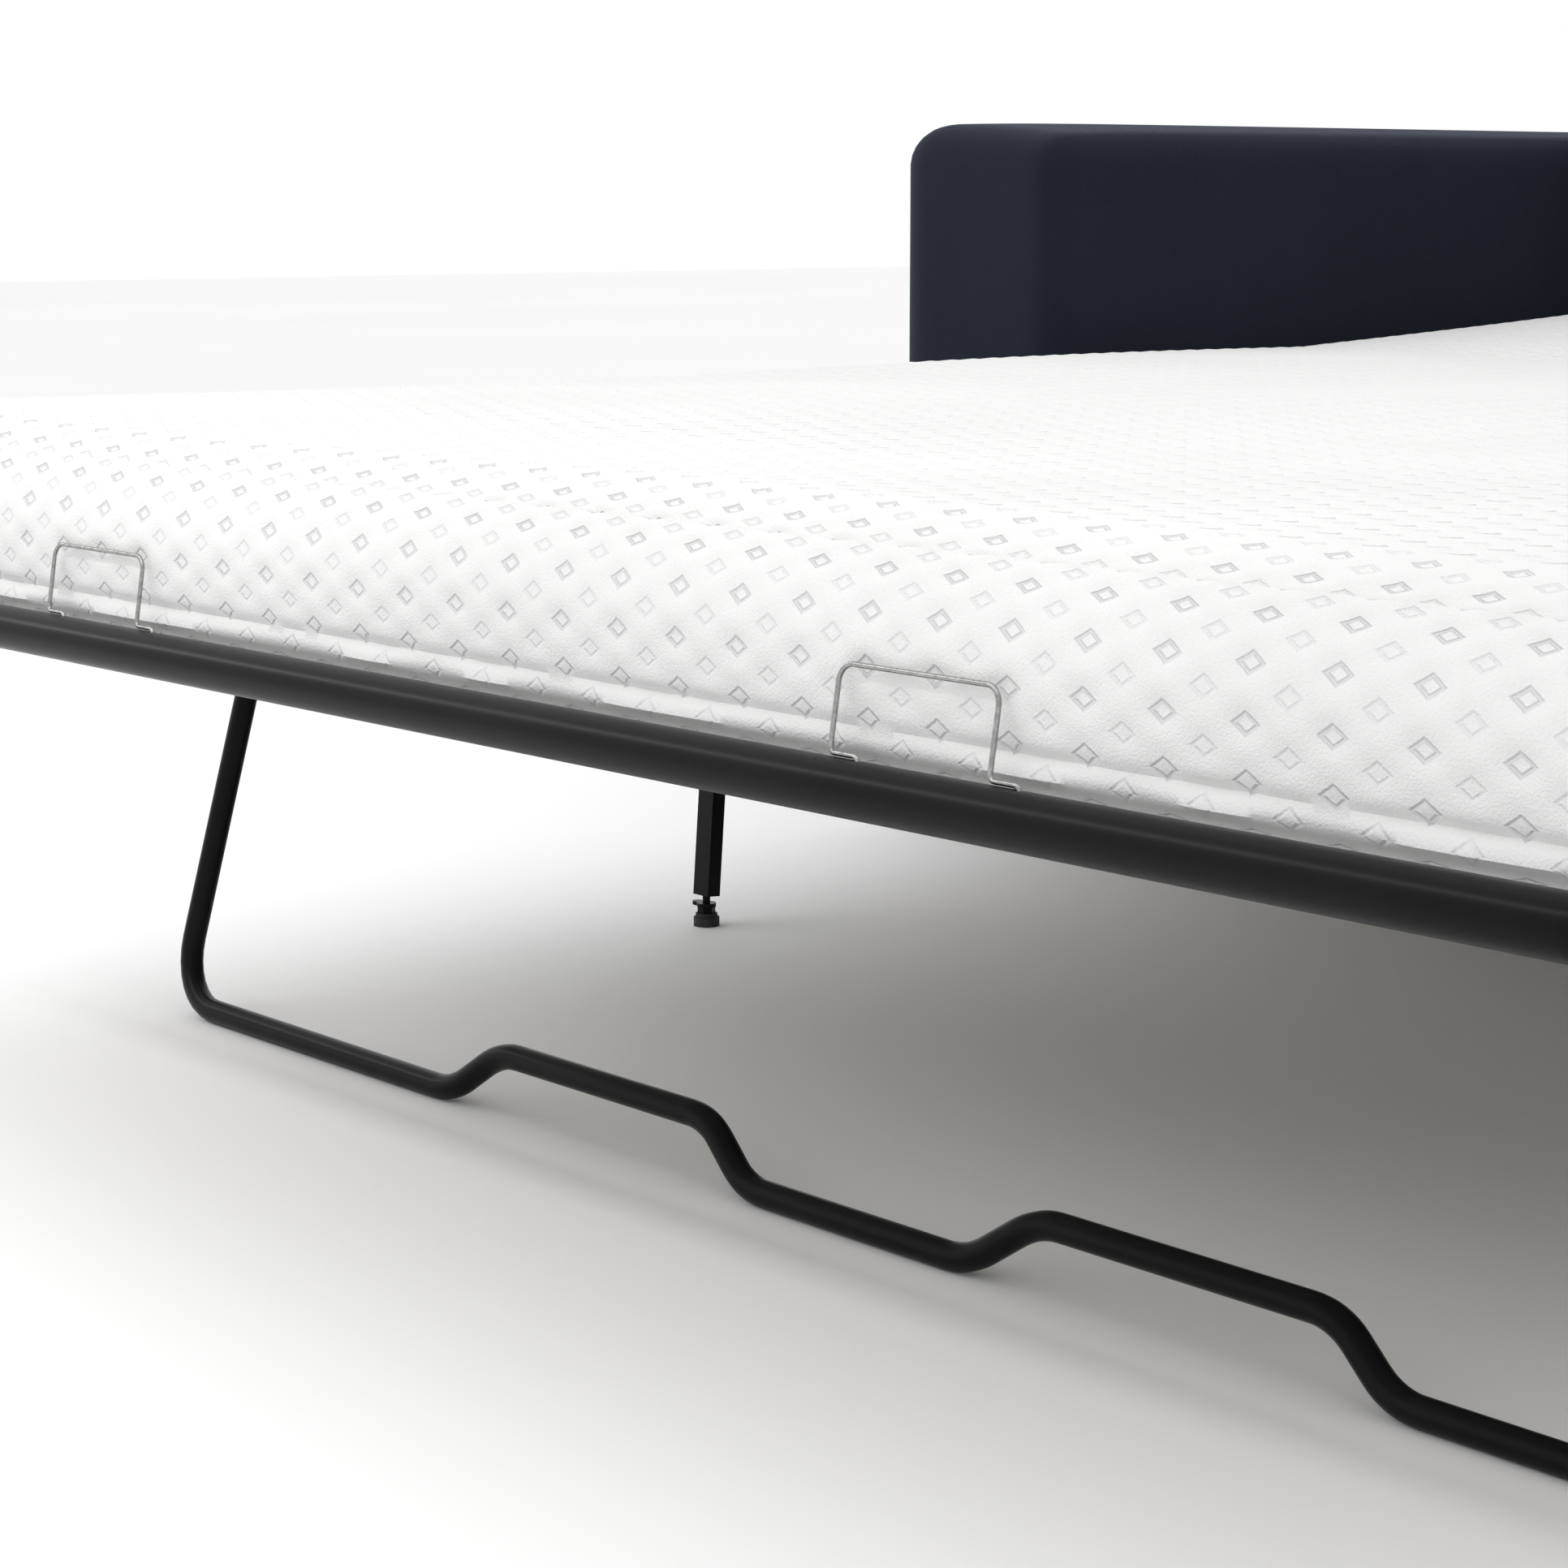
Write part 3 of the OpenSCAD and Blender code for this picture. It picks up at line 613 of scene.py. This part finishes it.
# How far the tufting pulls the cover in at a place on it, in metres
def tuft_depth(u, v):
    depth = np.zeros_like(u)
    for shift, pull in ((0.0, 0.0024), (0.5, 0.0016)):
        du = (np.mod(u / square_pitch + shift + 0.5, 1) - 0.5) * square_pitch
        dv = (np.mod(v / row_pitch + shift + 0.5, 1) - 0.5) * row_pitch
        depth += pull * np.exp(-(du / 0.0068) ** 2 / 2 - (dv / 0.0042) ** 2 / 2)
    return depth


def shape_mattress(block, points, low, high):
    edge, bottom, top = 0.060, 0.014, 0.062
    shaped = round_off(points, low, high, ((edge, edge), (edge, edge), (bottom, top)), tuck=0.012)
    on_x = np.isclose(np.abs(points[:, 0]), high.x, atol=1e-5)
    on_front = np.isclose(points[:, 1], low.y, atol=1e-5)
    on_rear = np.isclose(points[:, 1], high.y, atol=1e-5)
    on_top = np.isclose(points[:, 2], high.z, atol=1e-5)
    drop = high.z - points[:, 2]
    u = points[:, 0] + np.where(on_x, np.sign(points[:, 0]) * drop, 0)
    v = points[:, 1] - low.y + np.where(on_rear, drop, 0) - np.where(on_front, drop, 0)
    set_points(block, shaped)
    normals = np.empty(len(points) * 3)
    block.data.vertices.foreach_get("normal", normals)
    normals = normals.reshape(-1, 3)
    shown = on_x | on_front | on_rear | on_top
    height = (shaped[:, 2] - low.z) / (high.z - low.z)
    quilted = np.clip((height - 0.16) / 0.12, 0, 1) * shown
    pull = tuft_depth(u, v) * quilted
    wave = 0.0022 * np.sin(points[:, 0] * 7.3 + 0.6) * np.sin(points[:, 1] * 5.1 + 1.1) * on_top
    bulge = 0.006 * np.sin(np.pi * np.clip(height, 0, 1)) * (on_x | on_front | on_rear)
    shaped += normals * (bulge - pull)[:, None]
    shaped[:, 2] += wave - 0.003 * on_top
    pleats = np.exp(-((height - 0.10) / 0.035) ** 2) * 0.0028 - np.exp(-((height - 0.17) / 0.02) ** 2) * 0.003
    ripple = 1 + 0.35 * np.sin(u * 40.0 + 2.0 * np.sin(u * 13.0))
    side = (on_x | on_front | on_rear) * pleats * ripple
    shaped += normals * side[:, None]
    return shaped


# The cover follows the head end's slope after the middle section
def lean_head_end(points):
    away = np.maximum(points[:, 1] - rear_hinge.y, 0)
    bend = np.clip(away / 0.02, 0, 1) * head_rise
    leaned = points.copy()
    rise = points[:, 2] - rear_hinge.z
    past = points[:, 1] > rear_hinge.y
    leaned[:, 1] = np.where(past, rear_hinge.y + away * np.cos(bend) - rise * np.sin(bend), points[:, 1])
    leaned[:, 2] = np.where(past, rear_hinge.z + away * np.sin(bend) + rise * np.cos(bend), points[:, 2])
    return leaned


set_points(block, lean_head_end(shape_mattress(block, start_points, block_low, block_high)))


def split_mattress(block, start_points):
    mesh = block.data
    corner = np.empty(len(mesh.loops), dtype=np.int64)
    mesh.loops.foreach_get("vertex_index", corner)
    first = np.empty(len(mesh.polygons), dtype=np.int64)
    mesh.polygons.foreach_get("loop_start", first)
    sides = np.empty(len(mesh.polygons), dtype=np.int64)
    mesh.polygons.foreach_get("loop_total", sides)
    middle = np.add.reduceat(start_points[corner, 1], first) / sides
    parts = []
    starts = [block_low.y] + section_ends[:-1]
    for name, start, stop in zip(section_names, starts, section_ends):
        shell = bmesh.new()
        shell.from_mesh(mesh)
        shell.faces.ensure_lookup_table()
        outside = np.flatnonzero((middle < start) | (middle > stop))
        bmesh.ops.delete(shell, geom=[shell.faces[i] for i in outside], context="FACES")
        rim = [edge for edge in shell.edges if edge.is_boundary]
        bmesh.ops.holes_fill(shell, edges=rim, sides=0)
        part_mesh = bpy.data.meshes.new("mattress_" + name)
        shell.to_mesh(part_mesh)
        shell.free()
        part_mesh.materials.append(knit)
        part = bpy.data.objects.new("mattress_" + name + "_quilted", part_mesh)
        bpy.context.collection.objects.link(part)
        select_only(part)
        bpy.ops.object.shade_smooth_by_angle(angle=math.radians(55))
        parts.append(part)
    bpy.data.objects.remove(block)
    return parts


knit = knit_cover()
section_names = ["foot", "front_link", "middle", "rear_link", "head"]
sections = split_mattress(block, start_points)
section_bodies = ["foot_section", "front_links", "middle_section", "rear_links", "head_section"]
section_nodes = [
    "mattress_foot", "mattress_front_link", "mattress_middle", "mattress_rear_link", "mattress_head",
]
for part, body, node_name in zip(sections, section_bodies, section_nodes):
    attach(part, body)
    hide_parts(node_name)
    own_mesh(part)


# Studio: a seamless white floor in even white air, with a softbox above.
# A long strip light in front of the foot end draws the highlight along the black tube.
def make_studio():
    bpy.ops.object.select_all(action="DESELECT")
    bpy.ops.mesh.primitive_plane_add(size=40, location=(0, 0, 0))
    floor = bpy.context.object
    floor.name = "studio_floor"
    material, tree, shader = new_material("studio_paper")
    shade = object_noise(tree, 0.6).outputs["Fac"]
    tree.links.new(two_tone(tree, shade, (0.93, 0.93, 0.93), (0.95, 0.95, 0.95)), shader.inputs["Base Color"])
    shader.inputs["Roughness"].default_value = 0.9
    floor.data.materials.append(material)
    world = bpy.data.worlds.new("studio_air")
    bpy.context.scene.world = world
    world.use_nodes = True
    world.node_tree.nodes["Background"].inputs["Color"].default_value = (1, 1, 1, 1)
    world.node_tree.nodes["Background"].inputs["Strength"].default_value = 1.0
    bpy.context.scene.view_settings.view_transform = "Standard"


def soft_light(name, place, aim, size, power):
    light = bpy.data.lights.new(name, "AREA")
    light.shape = "RECTANGLE"
    light.size, light.size_y = size
    light.energy = power
    lamp = bpy.data.objects.new(name, light)
    bpy.context.collection.objects.link(lamp)
    lamp.location = place
    lamp.rotation_euler = (Vector(aim) - Vector(place)).to_track_quat("-Z", "Y").to_euler()


make_studio()
soft_light("overhead_softbox", (0.4, -0.6, 3.2), (0, -0.4, 0.3), (3.0, 3.0), 18)
soft_light("strip_light", (-1.8, -1.81, 1.37), (-1.8, -1.05, 0.315), (4.0, 0.1), 12.5)

lens_data = bpy.data.cameras.new("catalogue_lens")
lens_data.lens = 82.0
lens_data.sensor_width = 36.0
lens_data.clip_end = 60.0
camera = bpy.data.objects.new("catalogue_camera", lens_data)
bpy.context.collection.objects.link(camera)
camera.location = (1.418, -2.015, 0.560)
camera.rotation_euler = (math.radians(90 - 9.357), 0, math.radians(50.142))
bpy.context.scene.camera = camera
